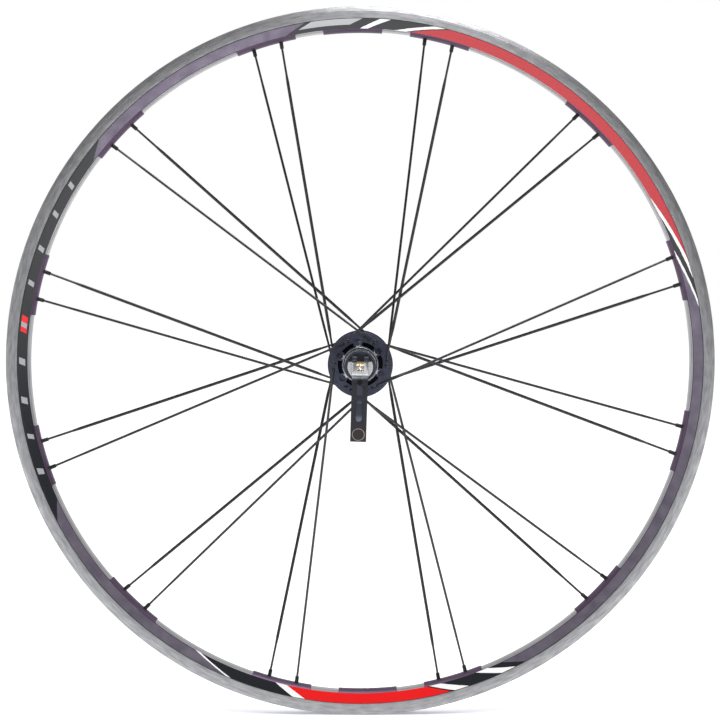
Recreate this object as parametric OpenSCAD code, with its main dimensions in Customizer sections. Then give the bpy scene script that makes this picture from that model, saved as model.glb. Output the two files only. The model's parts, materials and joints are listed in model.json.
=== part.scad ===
// Rear road bicycle wheel with 24 crossed spokes, a freehub and a quick release skewer.
// The axle lies on Y. Shapes are drawn in the wheel's own frame, where local Z is the axle,
// positive towards the lever side (-Y), and angles run anticlockwise as seen from that side.

/* [Rim] */
// Radius of the rim's outer edge
rim_outer_r = 316.5; // [316.5:0.1:317.5]
// Half of the rim's width at the brake track
rim_half_w = 9.75; // [9.5:0.05:10.5]
// Radius of the brake track's inner edge
track_inner_r = 306.3; // [305:0.1:307]
// Radius of the edge where the side wall turns into the nose
wall_edge_r = 297.4; // [297:0.1:298]
// Half of the rim's width at that edge
wall_edge_half = 6.6; // [6.4:0.1:6.8]
// Height of the rounded nose
nose_h = 3.3; // [3:0.1:3.6]
// Depth of the pockets milled in the nose between spoke pairs
pocket_depth = 0.9; // [0.4:0.1:1]
// Angle of each milled pocket
pocket_angle = 19.2; // [16:0.2:20]
// Diameter of the valve hole
valve_hole_d = 6.5; // [6.3:0.1:8.5]

/* [Spokes] */
// Angle of the middle of the first spoke pair
pair_at = 16.3; // [16:0.1:17]
// Half of the angle between the two spokes of a pair
pair_half = 2.45; // [2.3:0.05:2.6]
// Angle from a spoke's hub hole to its nipple
lacing_angle = 69; // [66:0.5:70]
// Blade width of the lever side spokes
left_blade_w = 2.2; // [2:0.1:2.4]
// Blade width of the drive side spokes
right_blade_w = 2.7; // [2.4:0.1:3]
// Blade thickness
blade_t = 1.1; // [0.9:0.1:1.3]
// Diameter of the spoke's round ends
spoke_d = 2; // [1.8:0.1:2.1]

/* [Hub] */
// Radius of both flanges
flange_r = 28.7; // [28:0.1:30]
// Radius of the circle of spoke holes
hole_circle_r = 23.7; // [23.5:0.1:24]
// Thickness of both flanges
flange_t = 3.2; // [3:0.1:3.4]
// Middle of the lever side flange from the wheel's middle
left_flange_at = 36; // [35:0.5:37]
// Middle of the drive side flange from the wheel's middle
right_flange_at = 17.5; // [17:0.5:18]
// Locknut face from the wheel's middle, half of the width between dropouts
locknut_at = 65; // [65:0.5:66]
// Radius of the axle's tube
axle_r = 7.5; // [7.5:0.1:7.6]
// Radius of the axle ends that sit in the dropouts
axle_end_r = 5; // [4.9:0.05:5]

/* [Freehub] */
// Outer radius of the splines
spline_r = 17.1; // [17:0.05:17.3]
// Number of wide splines
splines = 9; // [9]
// Number of ratchet teeth
teeth = 24; // [24]

/* [Quick release] */
// Diameter of the skewer rod
rod_d = 5; // [4.8:0.1:5]
// Width of the lever
lever_w = 13.8; // [13:0.1:14.5]
// Pivot to the tip of the lever
lever_len = 64.4; // [58:0.2:70]
// Sideways lean of the closed lever
lever_tilt = 1.7; // [0:0.1:5]
// Pivot from the wheel's middle
pivot_at = 87.5; // [87:0.1:89]
// Offset of the lever's cam from its pivot
cam_throw = 1; // [0.6:0.1:1]

/* [Hidden] */
SPOKE_NODES = [for (side = ["left", "right"], n = [1 : 12]) str("spoke_", side, n < 10 ? "_0" : "_", n)];
PAWL_NODES = ["pawl_1", "pawl_2", "pawl_3"];

$fn = 96;
RIM_FN = 256;   // segments that a preview draws round the rim
EPS = 0.05;     // gap between pieces that rest on each other
PRESS = 0.02;   // gap between pieces that are pressed together
PAIRS = 12;
PAIR_STEP = 360 / PAIRS;
VALVE_ANGLE = pair_at + 8.5 * PAIR_STEP;

// Rim section
BEAD_R = rim_outer_r - 5.5;
WELL_R = BEAD_R - 2.4;
BED_T = 1.3;
NOSE_ARC_R = (wall_edge_half * wall_edge_half + nose_h * nose_h) / (2 * nose_h);
NOSE_CENTRE_R = wall_edge_r - nose_h + NOSE_ARC_R;
SPOKE_BED_T = 2.2;
SPOKE_BED_R = NOSE_CENTRE_R - NOSE_ARC_R + SPOKE_BED_T;
NOSE_SPAN = asin(wall_edge_half / NOSE_ARC_R);

// Nipples
NIPPLE_D = 3.6;
NIPPLE_HOLE_D = 4.3;
NIPPLE_HEAD_D = 6;
NIPPLE_OUT = 5.6;                    // how far a nipple stands out of the nose
ACCESS_HOLE_D = 8.4;

// Spokes
HEAD_D = 4;
HEAD_T = 1.1;
SPOKE_HOLE_D = spoke_d + 0.3;
ELBOW_GAP = 0.15;                    // gap between a spoke and the flange's face
KNUCKLE_RUN = 16;                    // the stretch that lies along the flange's face
KNUCKLE_FILLET = 0.24;               // a bend's ball is this much wider than the wire
KNUCKLE_GAP = 0.25;                  // the two rods that a bend's ball joins end this far from its middle
ROUND_END = 33;                      // round stretch at the nipple

// Bearings: 15 x 28 x 7 in the hub, 15 x 24 x 5 in the freehub
HUB_BRG_R = 14;
HUB_BRG_W = 7;
HUB_BALL_R = 2.1;
HUB_PITCH_R = 10.75;
FH_BRG_R = 12;
FH_BRG_W = 5;
FH_BALL_R = 1.5;
FH_PITCH_R = 9.75;
LEFT_BRG_AT = 37.6;                  // middle of each bearing along the axle
RIGHT_BRG_AT = -14.5;
FH_BRG_INNER_AT = -31.5;
FH_BRG_OUTER_AT = -57.5;
LEFT_SHOULDER = 58;                  // where the axle steps down to its ends
RIGHT_SHOULDER = FH_BRG_OUTER_AT - FH_BRG_W / 2;

// Freehub and ratchet
RATCHET_OUT_R = 16.5;
TOOTH_TIP_R = 14;
TOOTH_ROOT_R = 15.2;
RATCHET_FROM = -26;
RATCHET_TO = -20;
NOSE_R = 13;
PAWL_PIVOT_R = 11.2;
PAWL_T = 2.6;
PAWL_LEN = 7;
PAWL_W = 5;

// Quick release
AXLE_END_AT = 70.5;
CUP_FACE_AT = 71.5;
CUP_R = 13.6;
CAM_R = 9.2;
CAM_GAP = 0.45;                      // keeps the cam off its saddle through the whole turn
SADDLE_TOP_AT = pivot_at - cam_throw - CAM_R - CAM_GAP;
BARREL_R = 4;
SLOT_W = 6.2;
ROD_REACH = 4.65;                    // how far from the pivot the rod's end sweeps in the slot
NUT_FROM = 73;
NUT_TO = 84;

module in_wheel_frame() {
    rotate([90, 0, 0]) children();
}

module at_angle(a) {
    rotate([0, 0, a]) children();
}

// A cylinder along the axle between two stations
module turned(r, from, to) {
    translate([0, 0, min(from, to)]) cylinder(r = r, h = abs(to - from));
}

// A tube along the axle between two stations
module sleeve(outer, inner, from, to) {
    difference() {
        turned(outer, from, to);
        turned(inner, min(from, to) - 1, max(from, to) + 1);
    }
}

// A radial cylinder from one radius to another
module radial_pin(d, from, to) {
    rotate([0, 90, 0]) translate([0, 0, from]) cylinder(d = d, h = to - from, $fn = 32);
}

// ---------- Rim ----------

// An arc about the nose's centre, from one side of the rim (-1 or 1) to the other
function nose_arc(r, span, side) =
    [for (i = [-6 : 6]) [NOSE_CENTRE_R - r * cos(i * span / 6), -side * r * sin(i * span / 6)]];

// Mirrors a list of [radius, half width] points to the other side of the rim
function mirrored(points) = [for (i = [len(points) - 1 : -1 : 0]) [points[i][0], -points[i][1]]];

function both_sides(points) = concat(points, mirrored(points));

HOOK = [
    [track_inner_r, rim_half_w],
    [rim_outer_r - 3.6, rim_half_w],
    [rim_outer_r - 3.3, rim_half_w - 0.3],
    [rim_outer_r - 0.5, rim_half_w - 0.4],
    [rim_outer_r, rim_half_w - 0.9],
    [rim_outer_r, rim_half_w - 1.8],
    [rim_outer_r - 0.4, rim_half_w - 2.2],
    [rim_outer_r - 1.5, rim_half_w - 2.2],
    [rim_outer_r - 2.4, rim_half_w - 1.5],
    [BEAD_R + 0.6, rim_half_w - 1.5],
    [BEAD_R, rim_half_w - 2.1],
    [BEAD_R, 5.9],
    [WELL_R, 4.5],
];

CAVITY = [
    [wall_edge_r + 0.5, 5.4],
    [track_inner_r + 0.1, rim_half_w - BED_T],
    [BEAD_R - BED_T, rim_half_w - BED_T],
    [BEAD_R - BED_T, 6.5],
    [WELL_R - BED_T, 5],
];

CAVITY_NOSE_R = NOSE_ARC_R - SPOKE_BED_T;

module rim_section() {
    difference() {
        polygon(concat(both_sides(HOOK), nose_arc(NOSE_ARC_R, NOSE_SPAN, -1)));
        polygon(concat(both_sides(CAVITY), nose_arc(CAVITY_NOSE_R, 40, -1)));
    }
}

// The floor of a pocket follows the nose, one pocket depth further in
module pocket_section() {
    top = wall_edge_r - 0.1;
    floor_r = NOSE_ARC_R - pocket_depth;
    span = acos((NOSE_CENTRE_R - top) / floor_r);
    around = [[top, -8], [wall_edge_r - 5, -8], [wall_edge_r - 5, 8], [top, 8]];
    polygon(concat(around, nose_arc(floor_r, span, 1)));
}

// Milled pockets: one in each gap, in two short pieces where the weld and the valve hole are
function pockets() = [
    for (k = [0 : PAIRS - 1], part = [-1, 0, 1])
        let (middle = pair_at + (k + 0.5) * PAIR_STEP, split = k == 2 || k == 8)
        if (split ? part != 0 : part == 0)
            split ? [middle + part * 7.5 - 2.4, 4.8] : [middle - pocket_angle / 2, pocket_angle]
];

module rim() {
    color("darkgray") in_wheel_frame() difference() {
        rotate_extrude($fn = RIM_FN) rim_section();
        for (p = pockets()) at_angle(p[0]) rotate_extrude(angle = p[1], $fn = RIM_FN) pocket_section();
        for (k = [0 : PAIRS - 1], s = [-1, 1]) at_angle(pair_at + k * PAIR_STEP + s * pair_half) {
            radial_pin(NIPPLE_HOLE_D, wall_edge_r - 6, SPOKE_BED_R + 4);
            radial_pin(ACCESS_HOLE_D, SPOKE_BED_R + 6, rim_outer_r + 1);
        }
        at_angle(VALVE_ANGLE) radial_pin(valve_hole_d, wall_edge_r - 6, rim_outer_r + 1);
    }
}

module rim_tape() {
    tape_t = 0.7;
    under = [[BEAD_R + EPS, 7.2], [BEAD_R + EPS, 5.85], [WELL_R + EPS, 4.45]];
    over = [[WELL_R + tape_t, 4.1], [BEAD_R + tape_t, 5.5], [BEAD_R + tape_t, 7.2]];
    color("royalblue") in_wheel_frame() difference() {
        rotate_extrude($fn = RIM_FN) polygon(concat(under, mirrored(under), mirrored(over), over));
        at_angle(VALVE_ANGLE) radial_pin(valve_hole_d + 0.8, BEAD_R - 5, rim_outer_r);
    }
}

// ---------- Spokes and nipples ----------

// Rim angle of a spoke: the drive side spoke of a pair comes first, then the lever side one
function rim_angle(side, k) = pair_at + k * PAIR_STEP + (side == "left" ? pair_half : -pair_half);

// Even spokes leave their hub hole anticlockwise and have their elbow outside the flange
function hub_angle(side, k) = rim_angle(side, k) + (k % 2 == 0 ? -lacing_angle : lacing_angle);

function side_sign(side) = side == "left" ? 1 : -1;

function flange_middle(side) = side == "left" ? left_flange_at : -right_flange_at;

// A spoke's shank runs this far from the flange's middle: outside it on even spokes
function shank_at(side, k) =
    let (off = flange_t / 2 + ELBOW_GAP + spoke_d / 2)
    flange_middle(side) + side_sign(side) * (k % 2 == 0 ? off : -off);

function polar_point(r, a, along) = [r * cos(a), r * sin(a), along];

function elbow_point(side, k) = polar_point(hole_circle_r, hub_angle(side, k), shank_at(side, k));

// A nipple's seat in the rim
function seat_point(side, k) = polar_point(SPOKE_BED_R, rim_angle(side, k), 0);

// The knuckle is where an outside spoke bends from the flange's face towards the rim
function knuckle_point(side, k) =
    let (a = elbow_point(side, k), b = seat_point(side, k), flat = [b[0] - a[0], b[1] - a[1], 0])
    a + flat / norm(flat) * KNUCKLE_RUN;

// Where the straight part of a spoke starts
function shank_start(side, k) = k % 2 == 0 ? knuckle_point(side, k) : elbow_point(side, k);

// Points +Z from one point to another, with X kept in the plane of the wheel
module along(from, to) {
    d = to - from;
    translate(from)
        rotate([0, 0, atan2(d[1], d[0])])
            rotate([0, acos(d[2] / norm(d)), 0])
                children();
}

module blade_section(w) {
    square([blade_t, w - blade_t], center = true);
    for (s = [-1, 1]) translate([0, s * (w - blade_t) / 2]) circle(d = blade_t, $fn = 24);
}

// Joins two rods at a bend, turned so that neither meets it at a pole
module bend_ball() {
    rotate([50, 20, 70]) sphere(d = spoke_d + KNUCKLE_FILLET, $fn = 32);
}

module spoke_shape(side, k) {
    blade_w = side == "left" ? left_blade_w : right_blade_w;
    elbow = elbow_point(side, k);
    start = shank_start(side, k);
    seat = seat_point(side, k);
    reach = norm(seat - start);
    butt = k % 2 == 0 ? 4 : 20;
    face = side_sign(side) * (k % 2 == 0 ? -1 : 1);
    head_at = elbow[2] + face * (spoke_d / 2 + flange_t + 2 * ELBOW_GAP);
    wire_end = head_at + face * HEAD_T / 2;
    translate([elbow[0], elbow[1], min(elbow[2], wire_end)])
        cylinder(d = spoke_d + 0.1, h = abs(wire_end - elbow[2]), $fn = 32);
    translate([elbow[0], elbow[1], face > 0 ? head_at : head_at - HEAD_T])
        cylinder(d = HEAD_D, h = HEAD_T, $fn = 32);
    translate(elbow) bend_ball();
    if (k % 2 == 0) {
        along(elbow, start) cylinder(d = spoke_d, h = KNUCKLE_RUN - KNUCKLE_GAP, $fn = 32);
        translate(start) bend_ball();
    }
    along(start, seat) {
        translate([0, 0, KNUCKLE_GAP]) cylinder(d = spoke_d, h = butt - KNUCKLE_GAP, $fn = 32);
        translate([0, 0, butt - 1])
            linear_extrude(height = reach - ROUND_END - butt + 2) blade_section(blade_w);
        translate([0, 0, reach - ROUND_END]) cylinder(d = spoke_d, h = ROUND_END + 1, $fn = 32);
    }
}

// Every second spoke of a side is the same, turned on by two pairs
module spoke(side, k) {
    color([0.09, 0.09, 0.1]) in_wheel_frame()
        at_angle((k - k % 2) * PAIR_STEP) spoke_shape(side, k % 2);
}

// A nipple points along its spoke, with its head inside the rim
module nipple(side, k) {
    first = k % 2;
    start = shank_start(side, first);
    seat = seat_point(side, first);
    at_angle((k - first) * PAIR_STEP) along(start, seat) translate([0, 0, norm(seat - start)]) difference() {
        union() {
            translate([0, 0, -SPOKE_BED_T - NIPPLE_OUT])
                cylinder(d = NIPPLE_D, h = SPOKE_BED_T + NIPPLE_OUT + 2, $fn = 32);
            translate([0, 0, 1.35]) cylinder(d = NIPPLE_HEAD_D, h = 2.2, $fn = 32);
        }
        translate([0, 0, -10]) cylinder(d = spoke_d + 0.1, h = 20, $fn = 32);
    }
}

module nipples_left() {
    color("black") in_wheel_frame() for (k = [0 : PAIRS - 1]) nipple("left", k);
}

module nipples_right() {
    color("black") in_wheel_frame() for (k = [0 : PAIRS - 1]) nipple("right", k);
}

// ---------- Hub ----------

module spoke_holes(side) {
    for (k = [0 : PAIRS - 1])
        at_angle(hub_angle(side, k))
            translate([hole_circle_r, 0, flange_middle(side) - 4])
                cylinder(d = SPOKE_HOLE_D, h = 8, $fn = 32);
}

// The lever side flange is lightened with six holes, and six grooves between them
module flange_windows() {
    hole_at = pair_at + pair_half + 18;
    for (k = [0 : 5]) at_angle(hole_at + k * 60) {
        translate([19.5, 0, left_flange_at - 6]) cylinder(r = 3, h = 10, $fn = 48);
        at_angle(12) rotate_extrude(angle = 36) translate([16.3, left_flange_at - 1]) square([3.4, 4]);
    }
}

module hub_shell() {
    left_out = left_flange_at + flange_t / 2;
    left_in = left_flange_at - flange_t / 2;
    right_out = -right_flange_at - flange_t / 2;
    right_in = -right_flange_at + flange_t / 2;
    left_end = LEFT_BRG_AT + HUB_BRG_W / 2 + 0.2;
    color([0.2, 0.22, 0.28]) in_wheel_frame() difference() {
        union() {
            turned(flange_r, left_in, left_out);
            turned(flange_r, right_in, right_out);
            turned(15.5, left_in - 2, left_end);
            translate([0, 0, left_in - 8]) cylinder(r1 = 12.5, r2 = 19.5, h = 8.1);
            turned(12.5, right_in, left_in);
            translate([0, 0, right_in - 0.1]) cylinder(r1 = 19, r2 = 12.5, h = 9);
            turned(18.3, right_out, RATCHET_FROM - 0.5);
        }
        turned(9, RATCHET_FROM - 2, left_end + 1);
        turned(HUB_BRG_R, LEFT_BRG_AT - HUB_BRG_W / 2, left_end + 1);
        turned(HUB_BRG_R, RIGHT_BRG_AT + HUB_BRG_W / 2, RATCHET_FROM - 2);
        turned(RATCHET_OUT_R, RATCHET_TO, RATCHET_FROM - 2);
        flange_windows();
        spoke_holes("left");
        spoke_holes("right");
    }
}

// One tooth is a ramp that ends in a step, which the pawls push against
module ratchet_section() {
    step = 360 / teeth;
    points = [for (i = [0 : teeth - 1], p = [[TOOTH_TIP_R, 0], [TOOTH_ROOT_R, 0.12]])
        [p[0] * cos((i + p[1]) * step), p[0] * sin((i + p[1]) * step)]];
    difference() {
        circle(r = RATCHET_OUT_R - PRESS);
        polygon(points);
    }
}

module ratchet_ring() {
    color("dimgray") in_wheel_frame()
        translate([0, 0, RATCHET_FROM]) linear_extrude(height = RATCHET_TO - RATCHET_FROM) ratchet_section();
}

module axle() {
    left_race = LEFT_BRG_AT - HUB_BRG_W / 2 - EPS;
    right_race = RIGHT_BRG_AT + HUB_BRG_W / 2 + EPS;
    color("silver") in_wheel_frame() difference() {
        union() {
            turned(axle_r, RIGHT_SHOULDER, LEFT_SHOULDER);
            turned(axle_r + 1.1, right_race, left_race);
            turned(axle_end_r, -AXLE_END_AT, AXLE_END_AT);
        }
        turned(rod_d / 2 + 0.25, -AXLE_END_AT - 1, AXLE_END_AT + 1);
    }
}

// An end cap clamps the inner race with its nose, and its outer face meets the dropout
module end_cap(bearing_face, shield_r, shoulder) {
    difference() {
        union() {
            turned(9, bearing_face + EPS, locknut_at);
            turned(shield_r, bearing_face + 0.6, bearing_face + 1.8);
            turned(10, locknut_at - 2, locknut_at);
        }
        turned(axle_r + EPS, bearing_face - 1, max(shoulder, bearing_face) + EPS);
        turned(axle_end_r + EPS, bearing_face, locknut_at + 1);
    }
}

module left_end_cap() {
    color("black") in_wheel_frame() end_cap(LEFT_BRG_AT + HUB_BRG_W / 2, 12.6, LEFT_SHOULDER);
}

module right_end_cap() {
    color("black") in_wheel_frame() mirror([0, 0, 1])
        end_cap(-FH_BRG_OUTER_AT + FH_BRG_W / 2, 10.6, -RIGHT_SHOULDER);
}

// ---------- Bearings ----------

module race_groove(at, pitch_r, ball_r) {
    translate([0, 0, at]) rotate_extrude() translate([pitch_r, 0]) circle(r = ball_r + 0.07, $fn = 48);
}

module outer_race(at, width, outer, pitch_r, ball_r) {
    difference() {
        sleeve(outer - PRESS, pitch_r + ball_r * 0.62, at - width / 2, at + width / 2);
        race_groove(at, pitch_r, ball_r);
    }
}

module inner_race(at, width, pitch_r, ball_r) {
    difference() {
        sleeve(pitch_r - ball_r * 0.62, axle_r + PRESS, at - width / 2, at + width / 2);
        race_groove(at, pitch_r, ball_r);
    }
}

module ball_set(at, pitch_r, ball_r, count) {
    for (i = [0 : count - 1])
        at_angle(i * 360 / count) translate([pitch_r, 0, at]) sphere(r = ball_r, $fn = 24);
}

module left_bearing_outer_race() {
    color("silver") in_wheel_frame() outer_race(LEFT_BRG_AT, HUB_BRG_W, HUB_BRG_R, HUB_PITCH_R, HUB_BALL_R);
}

module left_bearing_inner_race() {
    color("silver") in_wheel_frame() inner_race(LEFT_BRG_AT, HUB_BRG_W, HUB_PITCH_R, HUB_BALL_R);
}

module left_bearing_balls() {
    color("white") in_wheel_frame() ball_set(LEFT_BRG_AT, HUB_PITCH_R, HUB_BALL_R, 12);
}

module right_bearing_outer_race() {
    color("silver") in_wheel_frame() outer_race(RIGHT_BRG_AT, HUB_BRG_W, HUB_BRG_R, HUB_PITCH_R, HUB_BALL_R);
}

module right_bearing_inner_race() {
    color("silver") in_wheel_frame() inner_race(RIGHT_BRG_AT, HUB_BRG_W, HUB_PITCH_R, HUB_BALL_R);
}

module right_bearing_balls() {
    color("white") in_wheel_frame() ball_set(RIGHT_BRG_AT, HUB_PITCH_R, HUB_BALL_R, 12);
}

module freehub_bearing_outer_races() {
    color("silver") in_wheel_frame() for (at = [FH_BRG_INNER_AT, FH_BRG_OUTER_AT])
        outer_race(at, FH_BRG_W, FH_BRG_R, FH_PITCH_R, FH_BALL_R);
}

module freehub_bearing_inner_races() {
    color("silver") in_wheel_frame() for (at = [FH_BRG_INNER_AT, FH_BRG_OUTER_AT])
        inner_race(at, FH_BRG_W, FH_PITCH_R, FH_BALL_R);
}

module freehub_bearing_balls() {
    color("white") in_wheel_frame() for (at = [FH_BRG_INNER_AT, FH_BRG_OUTER_AT])
        ball_set(at, FH_PITCH_R, FH_BALL_R, 14);
}

// ---------- Freehub ----------

// A pawl lies in its slot along the nose, with its pivot at the clockwise end
module pawl_shape(length, grow) {
    circle(r = PAWL_T / 2 + grow, $fn = 32);
    translate([0, -PAWL_T / 2 - grow]) square([length + grow, PAWL_T + 2 * grow]);
}

module pawl_place(i) {
    at_angle(i * 120 + 90) translate([PAWL_PIVOT_R, 0, 0]) at_angle(90) children();
}

module pawl_slot(i) {
    pawl_place(i)
        translate([0, 0, RATCHET_FROM])
            linear_extrude(height = RATCHET_TO - RATCHET_FROM + 1) {
                pawl_shape(PAWL_LEN, 0.06);
                translate([-0.5, -PAWL_T - 1.5]) square([PAWL_LEN + 1.5, PAWL_T + 1]);
                translate([1.4, 0]) square([4.7, PAWL_T / 2 + 0.55]);
            }
}

module pawl(i) {
    color("gold") in_wheel_frame() pawl_place(i)
        translate([0, 0, RATCHET_FROM + 0.5]) linear_extrude(height = PAWL_W) pawl_shape(PAWL_LEN - 1, 0);
}

module freehub_body() {
    cap_face = FH_BRG_OUTER_AT - FH_BRG_W / 2;
    color("slategray") in_wheel_frame() difference() {
        union() {
            turned(NOSE_R, RATCHET_TO, RATCHET_FROM - 1);
            turned(17.6, RATCHET_FROM - 1, RATCHET_FROM - 3);
            turned(15.9, RATCHET_FROM - 2, cap_face - 0.4);
            translate([0, 0, cap_face - 0.4])
                linear_extrude(height = RATCHET_FROM - 3 - cap_face + 0.4)
                    for (i = [0 : splines - 1]) at_angle(i * 360 / splines) spline_section(i);
        }
        turned(axle_r + 1.3, RATCHET_TO + 1, cap_face);
        turned(FH_BRG_R, FH_BRG_INNER_AT + FH_BRG_W / 2, cap_face - 3);
        for (i = [0 : 2]) pawl_slot(i);
    }
}

// One spline is narrower than the rest, so that sprockets go on one way only
module spline_section(i) {
    half = i == 0 ? 4 : 7;
    intersection() {
        circle(r = spline_r);
        polygon([[0, 0], 2 * spline_r * [cos(half), -sin(half)], 2 * spline_r * [cos(half), sin(half)]]);
    }
}

// Tubes on the axle keep the inner races apart
module freehub_spacer() {
    color("silver") in_wheel_frame() {
        sleeve(9, axle_r + EPS, FH_BRG_INNER_AT - FH_BRG_W / 2 - EPS, FH_BRG_OUTER_AT + FH_BRG_W / 2 + EPS);
        sleeve(8.4, axle_r + EPS, RIGHT_BRG_AT - HUB_BRG_W / 2 - EPS, FH_BRG_INNER_AT + FH_BRG_W / 2 + EPS);
    }
}

// A tube in the freehub keeps the outer races apart
module freehub_race_spacer() {
    color("silver") in_wheel_frame()
        sleeve(FH_BRG_R - EPS, 11, FH_BRG_INNER_AT - FH_BRG_W / 2 - EPS, FH_BRG_OUTER_AT + FH_BRG_W / 2 + EPS);
}

// A lip seal turns with the hub shell and closes the gap to the freehub
module freehub_dust_seal() {
    color("black") in_wheel_frame() sleeve(17.9, 16.7, RATCHET_FROM - 0.55, RATCHET_FROM - 0.9);
}

module pawl_springs() {
    color("silver") in_wheel_frame() for (i = [0 : 2]) pawl_place(i)
        translate([1.5, PAWL_T / 2 + 0.12, RATCHET_FROM + 1.5]) cube([4.5, 0.4, PAWL_W - 2]);
}

// ---------- Quick release ----------

module skewer_rod() {
    color("silver") in_wheel_frame() {
        turned(rod_d / 2, -NUT_TO - 2, pivot_at + 3.6);
        translate([0, 0, pivot_at + 3.5]) cylinder(r1 = rod_d / 2 - 0.2, r2 = 1.2, h = 0.9);
    }
}

// The lever's frame: X is its pivot, Y points to its tip and Z away from the wheel
module at_lever() {
    in_wheel_frame() rotate([0, 0, 180 - lever_tilt]) translate([0, 0, pivot_at]) children();
}

// Turns a profile drawn in the lever's Y and Z into a slab across its width
module across_lever(w) {
    rotate([90, 0, 90]) translate([0, 0, -w / 2]) linear_extrude(height = w) children();
}

// The arm bends gently towards the wheel, so both of its faces are arcs
function lever_bend(y) = -7 * pow(y / lever_len, 2);

module lever_arm_profile() {
    front = [for (i = [0 : 10]) let (y = i * lever_len / 10) [y, 3.6 - 1.4 * i / 10 + lever_bend(y)]];
    back = [for (i = [10 : -1 : 0]) let (y = i * lever_len / 10) [y, -4.2 + 2.2 * i / 10 + lever_bend(y)]];
    polygon(concat(front, back));
}

module lever() {
    recess_from = 28.2;
    recess_to = 47;
    color([0.12, 0.13, 0.17]) at_lever() difference() {
        union() {
            across_lever(lever_w) translate([0, -cam_throw]) circle(r = CAM_R);
            across_lever(lever_w) lever_arm_profile();
        }
        rotate([0, 90, 0]) cylinder(r = BARREL_R + EPS, h = lever_w + 2, center = true, $fn = 64);
        translate([-SLOT_W / 2, -15, -20]) cube([SLOT_W, 15 + rod_d / 2 + 0.4, 40]);
        rotate([0, 90, 0]) cylinder(r = ROD_REACH, h = SLOT_W, center = true, $fn = 64);
        translate([-20, -20, 6.5]) cube([40, 40, 20]);
        for (y = [recess_from + 3.2, recess_to - 3.2])
            translate([0, y, lever_bend(y) + 1.6]) cylinder(r = 2.9, h = 5, $fn = 48);
        translate([0, (recess_from + recess_to) / 2, 3.1 + lever_bend(37)]) cube([5.8, recess_to - recess_from - 6.4, 5], center = true);
        translate([0, 12.6, 1.9]) cylinder(r = 2.1, h = 5, $fn = 32);
    }
}

module lever_pivot_barrel() {
    color("darkgoldenrod") at_lever() difference() {
        rotate([0, 90, 0]) cylinder(r = BARREL_R, h = lever_w - 0.4, center = true, $fn = 64);
        cylinder(r = rod_d / 2, h = 20, center = true);
    }
}

module lever_saddle() {
    color("silver") in_wheel_frame()
        sleeve(11, rod_d / 2 + 0.3, CUP_FACE_AT + 2 + EPS, SADDLE_TOP_AT);
}

// The cup clamps the dropout with its rim, and the saddle and a spring sit in it
module lever_cup() {
    color([0.1, 0.11, 0.13]) in_wheel_frame() difference() {
        turned(CUP_R, CUP_FACE_AT, SADDLE_TOP_AT - 0.6);
        turned(11.1, CUP_FACE_AT + 2, SADDLE_TOP_AT + 1);
        turned(7, CUP_FACE_AT - 1, CUP_FACE_AT + 1.2);
        turned(rod_d / 2 + 0.3, CUP_FACE_AT - 1, SADDLE_TOP_AT);
    }
}

// A conical wire spring, narrow at the axle and wide at the cup or nut
function spring_centre(t, turns, length) =
    let (r = 3.15 + 2.85 * t) [r * cos(360 * turns * t), r * sin(360 * turns * t), length * t];

module volute_spring(length) {
    wire_r = 0.35;
    turns = 3.5;
    rings = 56;
    sides = 8;
    points = [for (i = [0 : rings], j = [0 : sides - 1])
        let (t = i / rings, c = spring_centre(t, turns, length), a = 360 * turns * t, b = 360 * j / sides)
        c + wire_r * [cos(b) * cos(a), cos(b) * sin(a), sin(b)]];
    walls = [for (i = [0 : rings - 1], j = [0 : sides - 1])
        let (n = (j + 1) % sides)
        [i * sides + j, (i + 1) * sides + j, (i + 1) * sides + n, i * sides + n]];
    ends = [[for (j = [0 : sides - 1]) j], [for (j = [sides - 1 : -1 : 0]) rings * sides + j]];
    polyhedron(points = points, faces = concat(walls, ends), convexity = 6);
}

module left_volute_spring() {
    color("silver") in_wheel_frame() translate([0, 0, AXLE_END_AT + 0.45]) volute_spring(1.2);
}

module right_volute_spring() {
    color("silver") in_wheel_frame()
        mirror([0, 0, 1]) translate([0, 0, AXLE_END_AT + 0.45]) volute_spring(4.2);
}

module adjusting_nut() {
    color([0.1, 0.11, 0.13]) in_wheel_frame() mirror([0, 0, 1]) difference() {
        union() {
            translate([0, 0, NUT_FROM]) cylinder(r1 = 11, r2 = 8, h = NUT_TO - NUT_FROM);
            intersection() {
                turned(12.5, NUT_FROM, NUT_FROM + 9);
                for (i = [0 : 2]) at_angle(i * 60)
                    translate([0, 0, NUT_FROM + 4.5]) cube([26, 4.5, 9], center = true);
            }
        }
        turned(rod_d / 2 + 0.05, NUT_FROM - 1, NUT_TO + 1);
        turned(7, NUT_FROM - 1, NUT_FROM + 3);
        turned(4, NUT_TO - 3, NUT_TO + 1);
    }
}

module nut_face_ring() {
    color("silver") in_wheel_frame() mirror([0, 0, 1]) difference() {
        sleeve(11, 7, CUP_FACE_AT, NUT_FROM - PRESS);
        for (i = [0 : 23]) at_angle((i + 0.5) * 15) translate([11, 0, CUP_FACE_AT - 0.1])
            rotate([0, 90, 0]) cylinder(r = 0.5, h = 10, center = true, $fn = 4);
    }
}

module nut_locking_insert() {
    color("royalblue") in_wheel_frame() mirror([0, 0, 1])
        sleeve(4 - PRESS, rod_d / 2 + 0.03, NUT_TO - 3 + EPS, NUT_TO - 0.4);
}

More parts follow.
